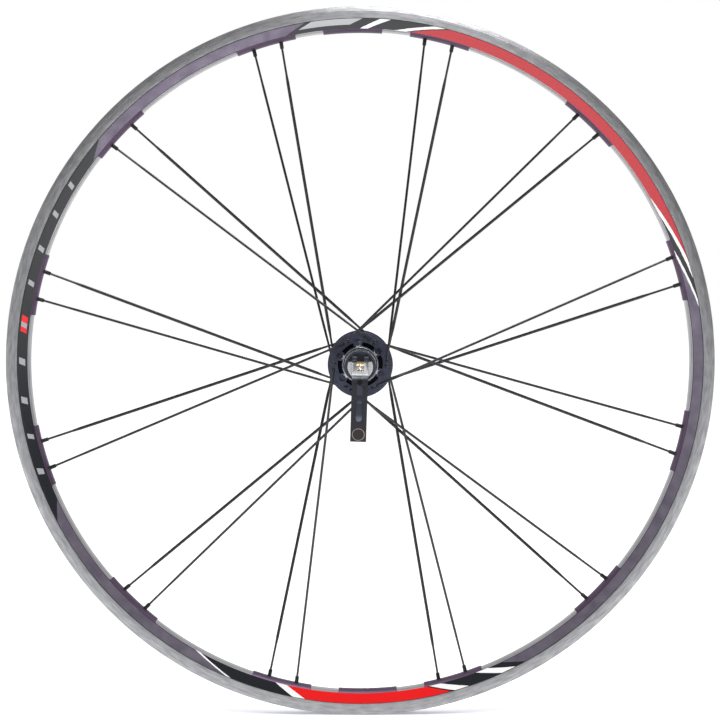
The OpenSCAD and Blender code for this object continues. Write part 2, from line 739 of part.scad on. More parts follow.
rim();
rim_tape();
nipples_left();
nipples_right();
for (i = [0 : 23])
    spoke(i < 12 ? "left" : "right", i % 12);
hub_shell();
axle();
left_end_cap();
right_end_cap();
ratchet_ring();
left_bearing_outer_race();
left_bearing_inner_race();
left_bearing_balls();
right_bearing_outer_race();
right_bearing_inner_race();
right_bearing_balls();
freehub_body();
freehub_bearing_outer_races();
freehub_bearing_inner_races();
freehub_bearing_balls();
freehub_spacer();
freehub_race_spacer();
freehub_dust_seal();
for (i = [0 : 2])
    pawl(i);
pawl_springs();
skewer_rod();
lever();
lever_pivot_barrel();
lever_saddle();
lever_cup();
left_volute_spring();
right_volute_spring();
adjusting_nut();
nut_face_ring();
nut_locking_insert();
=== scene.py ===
# %% [markdown]
# # A bicycle's rear wheel with its quick release
#
# The engineering model comes in first, as a fixed frame. It has every part in its true place,
# so the work here is finish: smoother metal, real blades on the spokes, decals and light.
# Sizes are in millimetres where a piece is shaped, and in metres in the scene.

import json
import math

import bmesh
import bpy
from mathutils import Matrix, Vector
from mathutils.bvhtree import BVHTree


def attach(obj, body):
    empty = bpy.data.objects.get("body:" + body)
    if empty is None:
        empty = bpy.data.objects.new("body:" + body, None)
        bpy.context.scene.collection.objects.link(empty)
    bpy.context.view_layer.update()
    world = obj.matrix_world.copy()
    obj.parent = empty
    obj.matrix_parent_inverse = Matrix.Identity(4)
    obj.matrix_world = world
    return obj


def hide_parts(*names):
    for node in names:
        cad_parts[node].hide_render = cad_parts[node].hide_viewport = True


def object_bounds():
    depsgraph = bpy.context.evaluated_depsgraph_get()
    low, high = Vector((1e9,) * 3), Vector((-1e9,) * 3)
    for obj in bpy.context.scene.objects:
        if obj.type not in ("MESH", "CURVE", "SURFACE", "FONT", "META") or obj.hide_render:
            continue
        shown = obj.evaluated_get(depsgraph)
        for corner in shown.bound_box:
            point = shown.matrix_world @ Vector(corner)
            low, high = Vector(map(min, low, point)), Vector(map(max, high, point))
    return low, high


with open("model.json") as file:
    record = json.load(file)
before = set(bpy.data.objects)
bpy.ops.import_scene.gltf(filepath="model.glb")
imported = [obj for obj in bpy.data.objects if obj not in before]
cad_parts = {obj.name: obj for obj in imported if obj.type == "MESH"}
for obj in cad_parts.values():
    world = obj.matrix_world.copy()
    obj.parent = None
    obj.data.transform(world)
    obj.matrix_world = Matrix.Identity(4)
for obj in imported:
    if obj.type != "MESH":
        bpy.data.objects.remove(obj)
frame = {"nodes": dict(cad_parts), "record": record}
cad_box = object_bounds()
NODES = frame["nodes"]
RECORD = frame["record"]
BODY = {node: body for body, nodes in RECORD["behaviour"]["bodies"].items() for node in nodes}
SLOT = {part["node"]: part["material_slot"] for part in RECORD["subparts"]}

# %% [markdown]
# ## Camera, floor and light
#
# The wheel stands on a pale floor and is seen square on, from a hand's width above the axle.
# A long lens keeps the circle round. A white sky gives the plain background, and large soft
# lamps give the metal something to mirror.

# %% Camera
MM = 0.001
CAMERA_DISTANCE = 1.9
CAMERA_ELEVATION = math.radians(2.5)
VIEW_MARGIN = 1.0178  # half the view's width over the rim's radius
FRAMING_SHIFT = (-0.0004, 0.0025)
RIM_OUTER_R = 316.5
TRACK_HALF = 9.75

scene = bpy.context.scene
camera = bpy.data.objects.new("camera", bpy.data.cameras.new("camera"))
scene.collection.objects.link(camera)
camera.location = (
    0,
    -CAMERA_DISTANCE * math.cos(CAMERA_ELEVATION),
    CAMERA_DISTANCE * math.sin(CAMERA_ELEVATION),
)
camera.rotation_euler = (math.pi / 2 - CAMERA_ELEVATION, 0, 0)
half_view = RIM_OUTER_R * MM * VIEW_MARGIN
camera.data.lens = camera.data.sensor_width / 2 * (CAMERA_DISTANCE - TRACK_HALF * MM) / half_view
camera.data.clip_end = 30
camera.data.shift_x, camera.data.shift_y = FRAMING_SHIFT
scene.camera = camera
scene.view_settings.view_transform = "Standard"
print("lens", round(camera.data.lens, 1), "mm")


# %% A helper for materials
def new_material(name, colour, metallic=0.0, roughness=0.5, **sockets):
    """A Principled material. Sockets are named in lower case with underscores."""
    material = bpy.data.materials.new(name)
    material.use_nodes = True
    shader = material.node_tree.nodes["Principled BSDF"]
    shader.inputs["Base Color"].default_value = (*colour, 1)
    shader.inputs["Metallic"].default_value = metallic
    shader.inputs["Roughness"].default_value = roughness
    for socket, value in sockets.items():
        shader.inputs[socket.replace("_", " ").title()].default_value = value
    return material


class Nodes:
    """Short names for adding and linking a material's nodes."""

    def __init__(self, material):
        self.tree = material.node_tree
        self.shader = self.tree.nodes["Principled BSDF"]

    def add(self, kind, inputs=None, **settings):
        node = self.tree.nodes.new("ShaderNode" + kind)
        for name, value in settings.items():
            setattr(node, name, value)
        for name, value in (inputs or {}).items():
            if isinstance(value, bpy.types.NodeSocket):
                self.tree.links.new(value, node.inputs[name])
            else:
                node.inputs[name].default_value = value
        return node

    def math(self, operation, a, b=0.0):
        return self.add("Math", {0: a, 1: b}, operation=operation).outputs[0]

    def within(self, value, low, high):
        """1 where a value lies between low and high, 0 elsewhere."""
        return self.math("MULTIPLY", self.math("GREATER_THAN", value, low),
                         self.math("LESS_THAN", value, high))

    def length(self, x, z):
        """The distance from the origin of a point at x and z."""
        point = self.add("CombineXYZ", {"X": x, "Z": z}).outputs[0]
        return self.add("VectorMath", {0: point}, operation="LENGTH").outputs["Value"]

    def object_axes(self):
        """X, Y and Z of the object coordinates, by name."""
        at = self.add("TexCoord").outputs["Object"]
        return self.add("SeparateXYZ", {"Vector": at}).outputs

    def place(self, scale=(1, 1, 1), uv=None):
        """Object coordinates, or a UV map's, stretched by scale."""
        if uv:
            at = self.add("UVMap", uv_map=uv).outputs["UV"]
        else:
            at = self.add("TexCoord").outputs["Object"]
        return self.add("Mapping", {"Vector": at, "Scale": scale}).outputs["Vector"]

    def noise(self, at, scale, detail=3.0):
        return self.add("TexNoise", {"Vector": at, "Scale": scale, "Detail": detail}).outputs["Fac"]

    def spread(self, value, low, high, start=0.3, end=0.7):
        """Maps a value from start..end to low..high."""
        inputs = {"Value": value, "From Min": start, "From Max": end, "To Min": low, "To Max": high}
        return self.add("MapRange", inputs).outputs["Result"]

    def mix(self, share, a, b):
        """Mixes two colours, each a socket or three numbers."""
        node = self.add("Mix", data_type="RGBA")
        for socket, value in ((0, share), (6, a), (7, b)):
            if isinstance(value, bpy.types.NodeSocket):
                self.tree.links.new(value, node.inputs[socket])
            elif socket == 0:
                node.inputs[socket].default_value = value
            else:
                node.inputs[socket].default_value = (*value, 1)
        return node.outputs[2]

    def ramp(self, value, stops):
        """A ramp without blending, from (place, (r, g, b, a)) stops."""
        node = self.add("ValToRGB", {"Fac": value})
        ramp = node.color_ramp
        ramp.interpolation = "CONSTANT"
        ramp.elements.remove(ramp.elements[1])
        ramp.elements[0].position, ramp.elements[0].color = stops[0]
        for place, colour in stops[1:]:
            ramp.elements.new(place).color = colour
        return node

    def to(self, socket, value):
        self.tree.links.new(value, self.shader.inputs[socket])

    def bump(self, height, distance, strength=1.0):
        inputs = {"Height": height, "Distance": distance, "Strength": strength}
        self.to("Normal", self.add("Bump", inputs).outputs["Normal"])

    def turned_about_axle(self):
        """Points the shader's stretched highlights round the wheel's axle."""
        tangent = self.add("Tangent", direction_type="RADIAL", axis="Y")
        self.to("Tangent", tangent.outputs["Tangent"])


# %% Floor
FLOOR_Z = cad_box[0][2]
floor_mesh = bmesh.new()
bmesh.ops.create_grid(floor_mesh, x_segments=1, y_segments=1, size=12)
bmesh.ops.translate(floor_mesh, verts=floor_mesh.verts, vec=(0, 0, FLOOR_Z))
floor_data = bpy.data.meshes.new("floor")
floor_mesh.to_mesh(floor_data)
floor_mesh.free()
floor = bpy.data.objects.new("floor", floor_data)
scene.collection.objects.link(floor)
floor_paint = new_material("pale_floor", (0.93, 0.93, 0.93), roughness=0.7,
                           emission_color=(1, 1, 1, 1), emission_strength=0.32)
paint = Nodes(floor_paint)
patches = paint.noise(paint.place(), 3)
paint.to("Base Color", paint.mix(patches, (0.95, 0.95, 0.95), (0.98, 0.98, 0.98)))
floor.data.materials.append(floor_paint)
print("floor at", round(FLOOR_Z, 4))


# %% Light
def soft_lamp(name, place, size, power):
    """A square lamp that faces the wheel's middle."""
    data = bpy.data.lights.new(name, "AREA")
    data.size = size
    data.energy = power
    lamp = bpy.data.objects.new(name, data)
    scene.collection.objects.link(lamp)
    lamp.location = place
    lamp.rotation_euler = Vector(place).to_track_quat("Z", "Y").to_euler()


SKY_FRONT = 0.24  # the sky behind the camera is dimmer, so that black stays black
world = bpy.data.worlds.new("studio")
world.use_nodes = True
scene.world = world
sky = world.node_tree.nodes["Background"]
sky_tree = world.node_tree
way = sky_tree.nodes.new("ShaderNodeTexCoord")
parts = sky_tree.nodes.new("ShaderNodeSeparateXYZ")
fade = sky_tree.nodes.new("ShaderNodeMapRange")
fade.inputs["From Min"].default_value, fade.inputs["From Max"].default_value = -0.75, 0.0
fade.inputs["To Min"].default_value, fade.inputs["To Max"].default_value = SKY_FRONT, 1.0
sky_tree.links.new(way.outputs["Generated"], parts.inputs[0])
sky_tree.links.new(parts.outputs["Y"], fade.inputs["Value"])
sky_tree.links.new(fade.outputs["Result"], sky.inputs["Strength"])
sky.inputs["Color"].default_value = (1, 1, 1, 1)
soft_lamp("key", (0.35, -1.2, 1.9), 1.0, 34)
soft_lamp("fill", (-1.8, -0.7, 0.4), 0.8, 3)

# %% [markdown]
# ## Shared shaping helpers
#
# A wheel is easiest to think about lying down: X and Y are its plane and Z runs along the
# axle, towards the lever. Every piece is shaped that way in millimetres, then turned upright
# and scaled to metres as its last step.

# %% From the wheel's own frame to the scene
UPRIGHT = Matrix.Rotation(math.pi / 2, 4, "X") @ Matrix.Scale(MM, 4)


def polar(radius, degrees, along=0.0):
    angle = math.radians(degrees)
    return Vector((radius * math.cos(angle), radius * math.sin(angle), along))


def finish(shape, name, body, materials, nodes=(), crease=35, upright=True):
    """Turns a bmesh into a finished piece that rides on a body."""
    if upright:
        bmesh.ops.transform(shape, matrix=UPRIGHT, verts=shape.verts)
    bmesh.ops.recalc_face_normals(shape, faces=shape.faces)
    data = bpy.data.meshes.new(name)
    shape.to_mesh(data)
    shape.free()
    data.shade_smooth()
    data.set_sharp_from_angle(angle=math.radians(crease))
    for material in materials:
        data.materials.append(material)
    piece = bpy.data.objects.new(name, data)
    scene.collection.objects.link(piece)
    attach(piece, body)
    if nodes:
        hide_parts(*nodes)
    return piece


# %% A lathe and a drawn bar
def lathe(profile, steps):
    """Spins a closed line of (radius, along) points round the axle."""
    shape = bmesh.new()
    points = [shape.verts.new((radius, 0, along)) for radius, along in profile]
    edges = [shape.edges.new(pair) for pair in zip(points, points[1:] + points[:1])]
    bmesh.ops.spin(
        shape, geom=points + edges, axis=(0, 0, 1), cent=(0, 0, 0),
        angle=2 * math.pi, steps=steps, use_merge=True,
    )
    bmesh.ops.remove_doubles(shape, verts=shape.verts, dist=1e-4)
    return shape


def draw_bar(stations, sides=16, shape=None):
    """Pulls a ring through stations, each a 4x4 matrix that places and sizes a unit circle."""
    shape = shape or bmesh.new()
    ring = bmesh.ops.create_circle(shape, segments=sides, radius=1)["verts"]
    bmesh.ops.transform(shape, matrix=stations[0], verts=ring)
    edges = list({edge for vert in ring for edge in vert.link_edges})
    bmesh.ops.edgeloop_fill(shape, edges=edges)
    for before, after in zip(stations, stations[1:]):
        grown = bmesh.ops.extrude_edge_only(shape, edges=edges)["geom"]
        ring = [g for g in grown if isinstance(g, bmesh.types.BMVert)]
        edges = [g for g in grown if isinstance(g, bmesh.types.BMEdge)]
        bmesh.ops.transform(shape, matrix=after @ before.inverted(), verts=ring)
    bmesh.ops.edgeloop_fill(shape, edges=edges)
    return shape


# %% [markdown]
# ## The rim
#
# The real rim is a rolled and welded aluminium extrusion. Its section is drawn once, as a
# closed line, and carried round the wheel in small steps. Between the spoke pairs the nose is
# milled away, so each step blends two lines: the full section and the milled one. The steps
# are finer where a pocket starts or ends, to keep its corners round.

# %% The rim's section, from the tyre side over the lever side to the nose
WALL_EDGE_R, WALL_EDGE_HALF, WALL_TOP_R = 297.4, 6.6, 306.3
NOSE_CENTRE_R, NOSE_ARC_R, POCKET_DEPTH = 302.35, 8.25, 0.9
WALL_SLOPE = (TRACK_HALF - WALL_EDGE_HALF) / (WALL_TOP_R - WALL_EDGE_R)
TRACK, WALL, NOSE, BED = range(4)


def wall_half(radius):
    return WALL_EDGE_HALF + (radius - WALL_EDGE_R) * WALL_SLOPE


bed = [
    (308.6, 4.5, BED), (311, 5.9, BED), (311, 7.65, BED), (311.6, 8.25, BED), (314.1, 8.25, BED),
    (314.6, 7.95, BED), (315.0, 7.55, BED), (316.0, 7.55, BED), (316.38, 7.7, BED),
    (316.5, 8.05, BED), (316.5, 8.8, TRACK), (316.36, 9.15, TRACK), (316.0, 9.35, TRACK),
    (313.25, 9.45, TRACK), (313.05, 9.52, TRACK), (312.9, 9.72, TRACK), (312.7, 9.75, TRACK),
    (309.6, 9.75, TRACK), (306.75, 9.75, TRACK), (306.55, 9.7, TRACK),
]
wall_line = [
    (306.45, 9.5, WALL), (306.2, 9.42, WALL), (306.0, wall_half(306.0) - 0.05, WALL),
    (305.8, wall_half(305.8), WALL), (304.0, wall_half(304.0), WALL),
    (302.0, wall_half(302.0), WALL), (300.0, wall_half(300.0), WALL),
    (298.3, wall_half(298.3), WALL), (297.65, wall_half(297.65) - 0.02, WALL),
]


def on_nose(radius, degrees):
    angle = math.radians(degrees)
    return NOSE_CENTRE_R - radius * math.cos(angle), radius * math.sin(angle)


full_nose = [on_nose(NOSE_ARC_R, a) for a in (53.1, 50.5, 47, 43, 38, 31, 23, 15, 7, 0)]
milled_nose = [(297.4, 6.6), (297.3, 6.4), (297.3, 5.42)]
milled_nose += [on_nose(NOSE_ARC_R - POCKET_DEPTH, a) for a in (45, 38, 31, 23, 15, 7, 0)]
half_full = [(r, a) for r, a, _ in bed + wall_line] + full_nose
half_milled = [(r, a) for r, a, _ in bed + wall_line] + milled_nose
zones = [zone for _, _, zone in bed + wall_line] + [NOSE] * len(full_nose)
full_section = half_full + [(r, -a) for r, a in reversed(half_full[:-1])]
milled_section = half_milled + [(r, -a) for r, a in reversed(half_milled[:-1])]
point_zones = zones + zones[-2::-1]
edge_zones = zones[:-1] + zones[-2::-1] + [BED]
print("points in the section:", len(full_section))

# %% Where the pockets are, and how far round each step goes
PAIR_AT, PAIR_HALF, PAIR_STEP = 16.3, 2.45, 30.0
VALVE_AT = PAIR_AT + 8.5 * PAIR_STEP
POCKET_HALF = 9.6
WEB_HALF, WEB_POCKET_HALF = 5.1, 9.9  # two gaps keep a solid web in their middle
WEB_GAPS = (2, 8)
CORNER = 2.0
pockets = []
for gap in range(12):
    middle = PAIR_AT + (gap + 0.5) * PAIR_STEP
    if gap in WEB_GAPS:
        pockets += [(middle - WEB_POCKET_HALF, middle - WEB_HALF),
                    (middle + WEB_HALF, middle + WEB_POCKET_HALF)]
    else:
        pockets.append((middle - POCKET_HALF, middle + POCKET_HALF))

steps = {round(a, 3) for a in range(360)}
for pocket in pockets:
    for end in pocket:
        steps |= {round((end + n * 0.07) % 360, 3) for n in range(-7, 8)}
steps = sorted(steps)
steps = [a for a, after in zip(steps, steps[1:] + [360]) if after - a > 0.03]
print("pockets:", len(pockets))


def milled_share(index, angle):
    """0 on the full section, 1 inside a pocket, for a point of the section at an angle."""
    depth = max(0.0, WALL_EDGE_R - full_section[index][0])
    inset = CORNER - math.sqrt(max(0.0, CORNER**2 - max(0.0, CORNER - depth * 2.2) ** 2))
    for start, end in pockets:
        for turn in (0, 360):
            inside = min(angle + turn - start, end - angle - turn) * math.radians(1) * WALL_EDGE_R
            if inside > -1:
                share = min(1.0, max(0.0, (inside - inset) / 0.35 + 0.5))
                return share * share * (3 - 2 * share)
    return 0.0


# %% Carry the section round
rim_shape = bmesh.new()
bare = rim_shape.verts.layers.float.new("bare")
place_in_section = rim_shape.verts.layers.int.new("place")
count = len(full_section)


def shape_ring(ring, angle):
    for index, vert in enumerate(ring):
        share = milled_share(index, angle) if point_zones[index] == NOSE else 0.0
        full, milled = full_section[index], milled_section[index]
        radius = full[0] + (milled[0] - full[0]) * share
        along = full[1] + (milled[1] - full[1]) * share
        vert.co = polar(radius, angle, along)
        vert[bare] = share
        vert[place_in_section] = index


first = [rim_shape.verts.new((radius, 0, along)) for radius, along in full_section]
first_edges = [rim_shape.edges.new((first[n], first[(n + 1) % count])) for n in range(count)]
shape_ring(first, steps[0])
before, edges = first, first_edges
for angle in steps[1:]:
    grown = set(bmesh.ops.extrude_edge_only(rim_shape, edges=edges)["geom"])
    ring = []
    for vert in before:
        ends = [edge.other_vert(vert) for edge in vert.link_edges]
        ring.append(next(end for end in ends if end in grown))
    edges = [rim_shape.edges.get((ring[n], ring[(n + 1) % count])) for n in range(count)]
    shape_ring(ring, angle)
    before = ring
bmesh.ops.bridge_loops(rim_shape, edges=edges + first_edges)
print("steps round the rim:", len(steps), "faces:", len(rim_shape.faces))

# %% [markdown]
# ## The rim's decals
#
# A decal's ends are slanted, and each end has its own slant, so no straight pattern fits. The
# wall gets a map of its own instead: across it runs from the track to the nose, and along it
# the slanted ends are pulled straight. A plain ramp can then paint every band. The bands are
# plain colours: the real one's name and badge are left out.

# %% Slanted ends
# Each row is an end: degrees at the track, degrees at the nose, and the paint that starts there.
NO_PAINT, WHITE, BLACK = (0.2, 0.18, 0.24, 0), (0.86, 0.86, 0.86, 1), (0.008, 0.009, 0.013, 1)
CRIMSON, RED, GREY = (0.46, 0.016, 0.026, 1), (0.76, 0.004, 0.005, 1), (0.33, 0.34, 0.36, 1)
upper_bands = [
    (9.1, 18.2, WHITE), (10.4, 19.4, BLACK), (13.5, 26, WHITE), (17, 29.8, CRIMSON),
    (74.5, 81.5, BLACK), (75.3, 82, WHITE), (77, 84, BLACK), (84.5, 88.5, WHITE),
    (86.5, 90, BLACK), (98.8, 102.9, NO_PAINT),
]
side_bands = [(139, 143.2, BLACK)]
for middle in (148, 153.6, 160, 166, 179.4, 186, 192.2, 198.4):
    side_bands += [(middle - 0.6, middle + 0.1, GREY), (middle + 0.3, middle + 1.0, BLACK)]
    if middle == 166:
        side_bands += [(171.6, 172.3, RED), (172.5, 173.2, GREY), (173.4, 174.1, RED)]
        side_bands += [(174.3, 175.0, BLACK)]
side_bands.append((207.6, 203.8, NO_PAINT))
lower_bands = [
    (247, 240, WHITE), (247.8, 241, BLACK), (258.5, 255, WHITE), (260.6, 257, RED),
    (285.6, 281.5, BLACK), (286.2, 282, WHITE), (288.8, 284, BLACK), (294.7, 290.5, WHITE),
    (297.2, 292.5, BLACK), (299, 295, NO_PAINT),
]
all_bands = upper_bands + side_bands + lower_bands


TURN = 360


def straightened(angle, height):
    """The angle at the track of whatever lies at this angle and height, from 0 to 1 inwards."""
    lower, start = 0.0, 0.0
    for outer, inner, _ in all_bands + [(TURN, TURN, None)]:
        here = outer + (inner - outer) * height
        if angle <= here:
            return lower + (outer - lower) * (angle - start) / (here - start)
        lower, start = outer, here
    return angle


# %% Write both maps
uv_round = rim_shape.loops.layers.uv.new("round")
uv_decal = rim_shape.loops.layers.uv.new("decal")
lengths = [0.0]
for here, after in zip(full_section, full_section[1:]):
    lengths.append(lengths[-1] + math.dist(here, after))
for face in rim_shape.faces:
    places = sorted({vert[place_in_section] for vert in face.verts})
    face.material_index = edge_zones[places[0] if places[-1] - places[0] == 1 else count - 1]
    middle = face.calc_center_median()
    middle_angle = math.degrees(math.atan2(middle.y, middle.x)) % 360
    for loop in face.loops:
        co = loop.vert.co
        angle = math.degrees(math.atan2(co.y, co.x)) % 360
        angle += 360 * round((middle_angle - angle) / 360)
        loop[uv_round].uv = (math.radians(angle) * 0.3, lengths[loop.vert[place_in_section]] * MM)
        radius = math.hypot(co.x, co.y)
        height = min(1.0, max(0.0, (WALL_TOP_R - radius) / (WALL_TOP_R - WALL_EDGE_R)))
        loop[uv_decal].uv = (straightened(angle, height) / TURN, height)
print("bands:", len(all_bands))

# %% [markdown]
# ## The rim's finishes
#
# The brake tracks are turned on a lathe, so they are bright, with fine lines that run round
# and a cloudy wear over them. The walls are grey anodised, with a purple cast. The pockets are
# bare milled metal. The lands between them are anodised, and painted darker than the wall as
# shade, since they face the axle.

# %% Turned brake track
track_metal = new_material("turned_track", (0.5, 0.5, 0.51), metallic=1, roughness=0.4,
                           anisotropic=0.75, anisotropic_rotation=0.25)
paint = Nodes(track_metal)
lines = paint.noise(paint.place((60, 2600, 1), "round"), 1.0, 3)
clouds = paint.noise(paint.place((90, 420, 1), "round"), 1.0, 4)
worn = paint.mix(paint.spread(clouds, 0, 1), (0.3, 0.305, 0.32), (0.53, 0.53, 0.545))
paint.to("Base Color", paint.mix(paint.spread(lines, 0, 0.6), worn, (0.22, 0.22, 0.235)))
paint.to("Roughness", paint.spread(lines, 0.3, 0.46))
paint.turned_about_axle()
paint.bump(lines, 0.00006, 0.6)
print("material:", track_metal.name)

# %% Anodised wall with its decals
wall_finish = new_material("anodised_wall", (0.2, 0.18, 0.24), roughness=0.4, coat_roughness=0.2)
paint = Nodes(wall_finish)
decal = paint.add("SeparateXYZ", {"Vector": paint.add("UVMap", uv_map="decal").outputs["UV"]})
along, across = decal.outputs["X"], decal.outputs["Y"]
flecks = paint.noise(paint.place((1, 1, 1)), 90, 4)
colour = paint.mix(paint.spread(flecks, 0, 1), (0.145, 0.125, 0.17), (0.21, 0.185, 0.235))
# A dark line along the wall's edge next to the nose is painted shade.
NOSE_SHADE_FROM, TRACK_LINE_TO = 0.93, 0.035
nose_shade_line = paint.math("GREATER_THAN", across, NOSE_SHADE_FROM)
colour = paint.mix(paint.math("MULTIPLY", nose_shade_line, 0.75), colour, (0.035, 0.02, 0.045))
BAR_REACH = (0.2, 0.78)
covered = 0.0
for bands in (upper_bands, side_bands, lower_bands):
    start, end = bands[0][0] - 1, bands[-1][0] + 1
    part = paint.spread(along, 0, 1, start / TURN, end / TURN)
    stops = [((outer - start) / (end - start), tone) for outer, _, tone in bands]
    ramp = paint.ramp(part, [(0, NO_PAINT)] + stops)
    share = ramp.outputs["Alpha"]
    if bands is side_bands:
        inside = paint.within(across, *BAR_REACH)
        tone = paint.mix(inside, BLACK[:3], ramp.outputs["Color"])
    else:
        tone = ramp.outputs["Color"]
    colour = paint.mix(share, colour, tone)
    covered = paint.math("ADD", covered, share)
FLASH_FROM, FLASH_TO, FLASH_REACH = 89.5, 98.0, 0.62
flash = paint.math("MULTIPLY", paint.within(along, FLASH_FROM / TURN, FLASH_TO / TURN),
                   paint.math("LESS_THAN", across, FLASH_REACH))
colour = paint.mix(flash, colour, (0.42, 0.43, 0.45))
gap_line = paint.math("LESS_THAN", across, TRACK_LINE_TO)
colour = paint.mix(gap_line, colour, (0.02, 0.018, 0.025))
paint.to("Base Color", colour)
paint.to("Metallic", paint.math("SUBTRACT", 0.85, covered))
paint.to("Roughness", paint.spread(covered, 0.42, 0.22, 0, 1))
paint.to("Coat Weight", paint.math("MULTIPLY", covered, 0.25))
paint.bump(flecks, 0.00002, 0.3)
print("material:", wall_finish.name)

# %% Milled pockets, and lands painted darker as shade
nose_finish = new_material("nose", (0.5, 0.5, 0.5), metallic=1, roughness=0.35)
paint = Nodes(nose_finish)
bare_here = paint.add("Attribute", attribute_name="bare").outputs["Fac"]
milled = paint.math("GREATER_THAN", bare_here, 0.4)
marks = paint.noise(paint.place((30, 1500, 1), "round"), 1.0, 3)
# The lands' anodise is painted darker than the wall's, as painted shade.
land_anodise_and_shade = paint.mix(paint.spread(marks, 0, 1), (0.075, 0.05, 0.085), (0.13, 0.095, 0.14))
cut = paint.mix(paint.spread(marks, 0, 1), (0.28, 0.28, 0.295), (0.5, 0.5, 0.515))
paint.to("Base Color", paint.mix(milled, land_anodise_and_shade, cut))
paint.to("Roughness", paint.mix(milled, (0.45, 0.45, 0.45), (0.3, 0.3, 0.3)))
paint.bump(marks, 0.00004, 0.4)
print("material:", nose_finish.name)

# %% Plain anodised bed
bed_finish = new_material("rim_bed", (0.3, 0.29, 0.32), metallic=0.9, roughness=0.45)
paint = Nodes(bed_finish)
streaks = paint.noise(paint.place((20, 3000, 1), "round"), 1.0, 3)
bed_tone = paint.mix(paint.spread(streaks, 0, 1), (0.24, 0.23, 0.26), (0.36, 0.35, 0.38))
paint.to("Base Color", bed_tone)
print("material:", bed_finish.name)

# %% Finish the rim and drill its valve hole
rim = finish(rim_shape, "rim_turned", "wheel",
             [track_metal, wall_finish, nose_finish, bed_finish], ["rim"], crease=40)
VALVE_HOLE_R = 3.25
drill_shape = bmesh.new()
bmesh.ops.create_cone(drill_shape, cap_ends=True, segments=40, radius1=VALVE_HOLE_R,
                      radius2=VALVE_HOLE_R, depth=30)
lay = UPRIGHT @ Matrix.Translation(polar(305, VALVE_AT)) @ Matrix.Rotation(
    math.radians(VALVE_AT), 4, "Z") @ Matrix.Rotation(math.pi / 2, 4, "Y")
bmesh.ops.transform(drill_shape, matrix=lay, verts=drill_shape.verts)
drill_data = bpy.data.meshes.new("drill")
drill_shape.to_mesh(drill_data)
drill_shape.free()
drill = bpy.data.objects.new("drill", drill_data)
scene.collection.objects.link(drill)
cut_hole = rim.modifiers.new("valve_hole", "BOOLEAN")
cut_hole.operation, cut_hole.object, cut_hole.solver = "DIFFERENCE", drill, "EXACT"
bpy.context.view_layer.objects.active = rim
bpy.ops.object.modifier_apply(modifier=cut_hole.name)
bpy.data.objects.remove(drill)
print("rim faces:", len(rim.data.polygons))

# %% [markdown]
# ## Spokes
#
# A bladed spoke starts as a round wire. One end is upset into a head and bent through the
# flange, the middle is pressed flat, and the other end stays round for its thread. Each spoke
# is one ring pulled through stations: the ring's width and thickness change on the way.

# %% Where each spoke starts and ends
HOLE_CIRCLE_R, SEAT_R, SPOKE_R, BLADE_HALF_T, FLANGE_T = 23.7, 296.3, 1.0, 0.55, 3.2
FLANGE_AT = {"left": 36.0, "right": -17.5}
BLADE_HALF_W = {"left": 1.1, "right": 1.35}
LACING, OFFSET, KNUCKLE_RUN = 69.0, FLANGE_T / 2 + 0.15 + SPOKE_R, 16.0


def spoke_points(side, k):
    """The elbow, where the straight part starts, the nipple seat, and which way the head lies."""
    sign = 1 if side == "left" else -1
    outside = k % 2 == 0
    rim_angle = PAIR_AT + k * PAIR_STEP + PAIR_HALF * sign
    hub_angle = rim_angle + (-LACING if outside else LACING)
    offset = OFFSET if outside else -OFFSET
    elbow = polar(HOLE_CIRCLE_R, hub_angle, FLANGE_AT[side] + sign * offset)
    seat = polar(SEAT_R, rim_angle)
    flat = Vector((seat.x - elbow.x, seat.y - elbow.y, 0)).normalized()
    start = elbow + flat * KNUCKLE_RUN if outside else elbow
    return elbow, start, seat, sign * (-1 if outside else 1)


# %% Draw the spokes
def ring_at(point, forward, wide, half_t, half_w):
    thick = wide.cross(forward).normalized()
    turn = Matrix((thick, wide, forward)).transposed().to_4x4()
    return Matrix.Translation(point) @ turn @ Matrix.Diagonal((half_t, half_w, 1, 1))


def bend(corner, arrive, leave, reach):
    """Points and directions of a smooth bend."""
    for t in (0, 0.25, 0.5, 0.75, 1):
        a, b = corner - arrive * reach * (1 - t), corner + leave * reach * t
        yield a.lerp(b, t), arrive.lerp(leave, t).normalized()


def spoke_stations(side, k):
    elbow, start, seat, head_way = spoke_points(side, k)
    wire = Vector((0, 0, -head_way))
    shank = (seat - start).normalized()
    run = (start - elbow).normalized() if k % 2 == 0 else shank
    wide = Vector((0, 0, 1)).cross(run).normalized()
    head = elbow - wire * (SPOKE_R + FLANGE_T + 0.3)
    rings = [(head - wire * d, wire, r, r) for d, r in
             ((1.1, 0.7), (1.0, 1.3), (0.7, 1.8), (0.35, 2.0), (0.1, 1.9), (0.0, 1.05))]
    rings += [(p, d, SPOKE_R, SPOKE_R) for p, d in bend(elbow, wire, run, 1.7)]
    if k % 2 == 0:
        rings += [(p, d, SPOKE_R, SPOKE_R) for p, d in bend(start, run, shank, 3.5)]
    reach, butt = (seat - start).length, 5 if k % 2 == 0 else 20
    half_w = BLADE_HALF_W[side]
    for at, half_t, half in (
        (butt, SPOKE_R, SPOKE_R), (butt + 3, 0.8, 0.5 * (half_w + SPOKE_R)),
        (butt + 7, BLADE_HALF_T, half_w), (reach / 2, BLADE_HALF_T, half_w),
        (reach - 38, BLADE_HALF_T, half_w), (reach - 34, 0.8, 0.5 * (half_w + SPOKE_R)),
        (reach - 30, SPOKE_R, SPOKE_R), (reach, SPOKE_R, SPOKE_R),
    ):
        rings.append((start + shank * at, shank, half_t, half))
    return [ring_at(p, d, wide, t, w) for p, d, t, w in rings]


